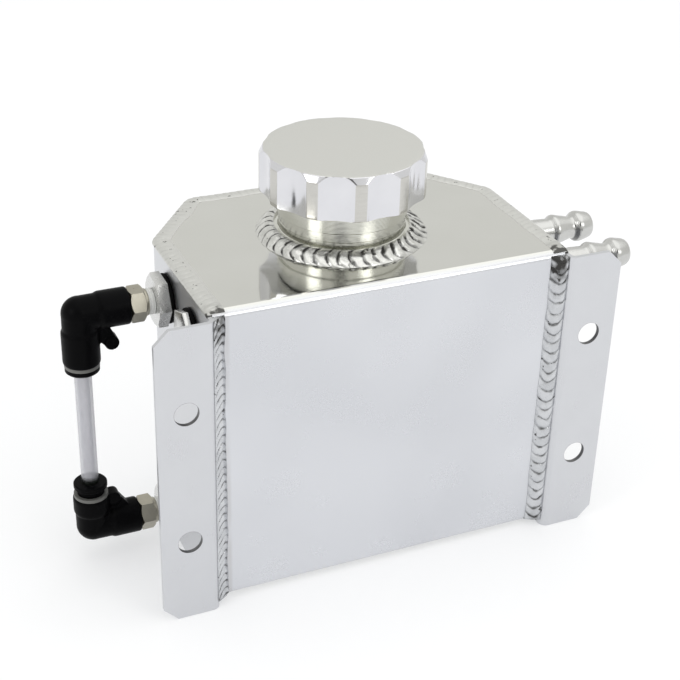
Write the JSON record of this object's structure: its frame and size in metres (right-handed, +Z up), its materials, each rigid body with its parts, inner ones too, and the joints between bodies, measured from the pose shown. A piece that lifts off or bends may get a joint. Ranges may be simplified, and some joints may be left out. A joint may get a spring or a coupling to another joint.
{
  "type": "oil catch can",
  "caption": "Welded aluminium oil catch can with bolt flanges, scalloped screw cap, clear sight level on one side and hose tails on the other.",
  "frame": {"origin": "centre of the four flange holes, on the front face of the flanges, which seats on the bulkhead", "axes": "+X along the flanges to the hose tails, +Y from the flange face back into the tank, +Z up to the cap"},
  "size_m": [0.2009, 0.0912, 0.1442],
  "materials": {
    "sheet_aluminium": "polished sheet, brushed lightly on the flanges",
    "weld_aluminium": "rippled weld bead with dark pits",
    "turned_aluminium": "fine turned, matt on the cap",
    "fitting_aluminium": "machined",
    "nickel_plate": "nickel plated",
    "black_rubber": "matt rubber",
    "thread_tape": "white tape wound round a thread",
    "black_plastic": "moulded, slight gloss",
    "grey_plastic": "moulded",
    "steel": "spring steel",
    "clear_plastic": "clear tube, slightly milky"
  },
  "bodies": {
    "tank": {"folded_channel": "sheet_aluminium", "folded_strip": "sheet_aluminium", "top_seam_weld": "weld_aluminium", "bottom_seam_weld": "weld_aluminium", "left_corner_weld": "weld_aluminium", "right_corner_weld": "weld_aluminium", "filler_neck": "turned_aluminium", "neck_weld": "weld_aluminium", "upper_port_boss": "fitting_aluminium", "lower_port_boss": "fitting_aluminium", "plug_boss": "fitting_aluminium", "upper_adapter": "fitting_aluminium", "lower_adapter": "fitting_aluminium", "blanking_plug": "fitting_aluminium", "upper_adapter_ring": "black_rubber", "lower_adapter_ring": "black_rubber", "plug_ring": "black_rubber", "upper_thread_tape": "thread_tape", "lower_thread_tape": "thread_tape", "upper_stud": "nickel_plate", "lower_stud": "nickel_plate", "upper_stud_seal": "black_rubber", "lower_stud_seal": "black_rubber", "upper_elbow": "black_plastic", "lower_elbow": "black_plastic", "upper_clip_ring": "grey_plastic", "lower_clip_ring": "grey_plastic", "upper_grip_ring": "steel", "lower_grip_ring": "steel", "upper_tube_seal": "black_rubber", "lower_tube_seal": "black_rubber", "sight_tube": "clear_plastic", "front_hose_tail": "turned_aluminium", "rear_hose_tail": "turned_aluminium", "front_tail_weld": "weld_aluminium", "rear_tail_weld": "weld_aluminium"},
    "cap_lift": {"cap_seal": "black_rubber"},
    "cap": {"filler_cap": "turned_aluminium"},
    "upper_release": {"upper_collet": "black_plastic"},
    "lower_release": {"lower_collet": "black_plastic"}
  },
  "joints": [
    {"name": "cap_rise", "type": "slide", "parent": "tank", "child": "cap_lift", "axis": [0, 0, 1], "range_m": [0, 0.009]},
    {"name": "cap_turn", "type": "hinge", "parent": "cap_lift", "child": "cap", "pos_m": [-0.0016, 0.0461, 0.08], "axis": [0, 0, 1], "range_deg": [0, 1080]},
    {"name": "upper_release_slide", "type": "slide", "parent": "tank", "child": "upper_release", "axis": [0, 0, -1], "range_m": [0, 0.0024]},
    {"name": "lower_release_slide", "type": "slide", "parent": "tank", "child": "lower_release", "axis": [0, 0, -1], "range_m": [0, 0.0024]}
  ],
  "couplings": [
    {"joint": "cap_turn", "follows": "cap_rise", "rad_per_m": 2094.4}
  ]
}
